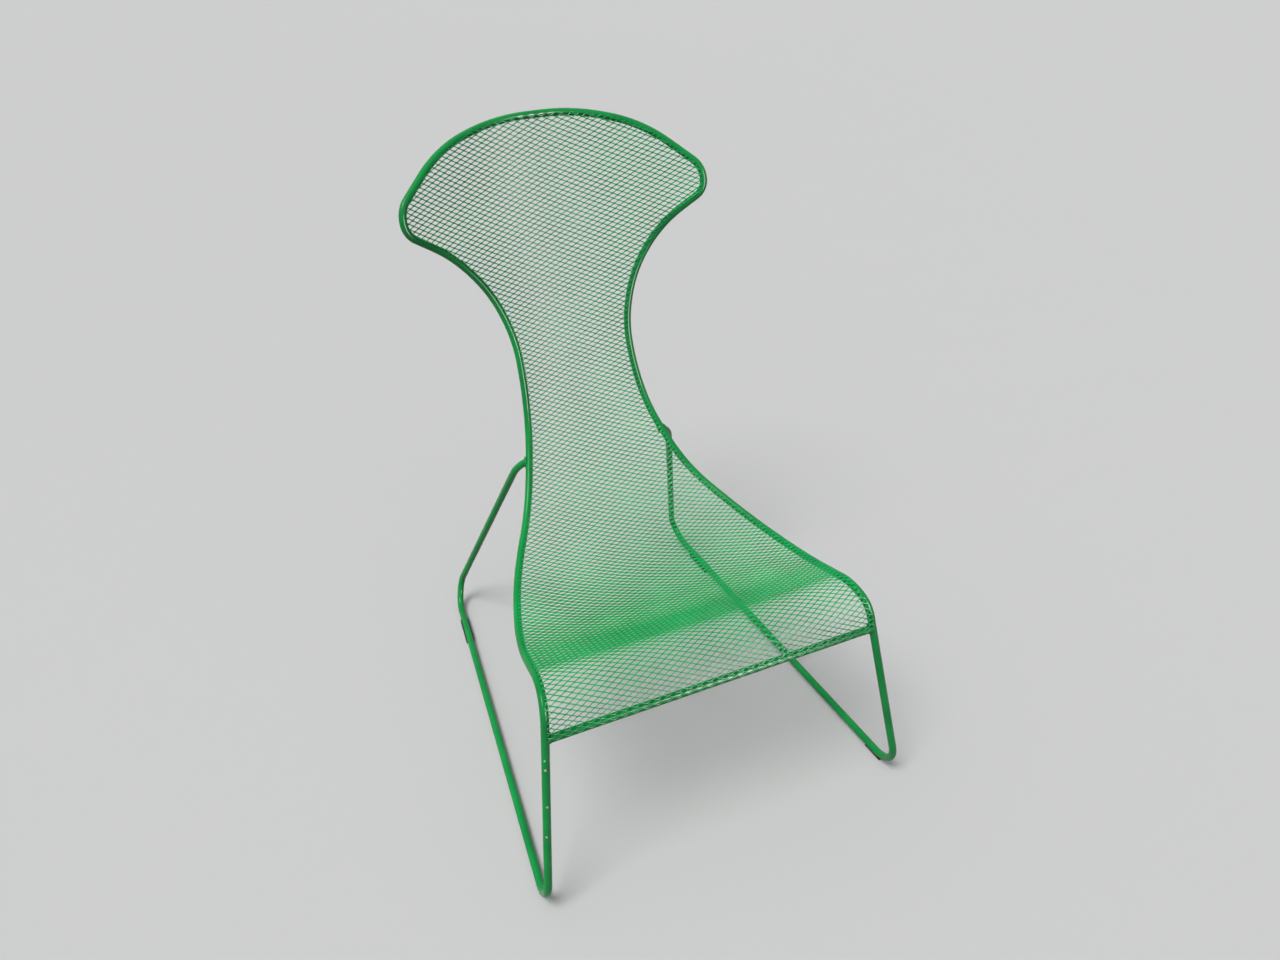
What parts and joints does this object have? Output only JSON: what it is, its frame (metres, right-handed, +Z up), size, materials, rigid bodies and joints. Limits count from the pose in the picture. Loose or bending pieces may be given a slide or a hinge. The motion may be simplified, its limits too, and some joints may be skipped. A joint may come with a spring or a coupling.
{
  "type": "garden chair",
  "caption": "Low lounge garden chair of bent round steel bar under a rolled expanded-mesh seat, with a narrow waist, a winged headrest and floor runners on small black glides.",
  "frame": {"origin": "on the floor, at the middle of the chair's width and depth", "axes": "+Z up, -Y towards the front of the seat, +X to the right as seen from the front"},
  "size_m": [0.6036, 0.7416, 0.9182],
  "materials": {
    "frame_coat": "semi-gloss",
    "mesh_coat": "semi-gloss",
    "glide_plastic": "matte"
  },
  "bodies": {
    "root": {"headrest_bow": "frame_coat", "left_back_bar": "frame_coat", "right_back_bar": "frame_coat", "left_seat_bar": "frame_coat", "right_seat_bar": "frame_coat", "left_front_leg": "frame_coat", "right_front_leg": "frame_coat", "left_runner": "frame_coat", "right_runner": "frame_coat", "left_rear_upright": "frame_coat", "right_rear_upright": "frame_coat", "front_rail": "frame_coat", "front_rail_weld_beads": "frame_coat", "upright_weld_beads": "frame_coat", "mesh_panel": "mesh_coat", "front_left_glide": "glide_plastic", "front_right_glide": "glide_plastic", "rear_left_glide": "glide_plastic", "rear_right_glide": "glide_plastic"}
  },
  "joints": []
}
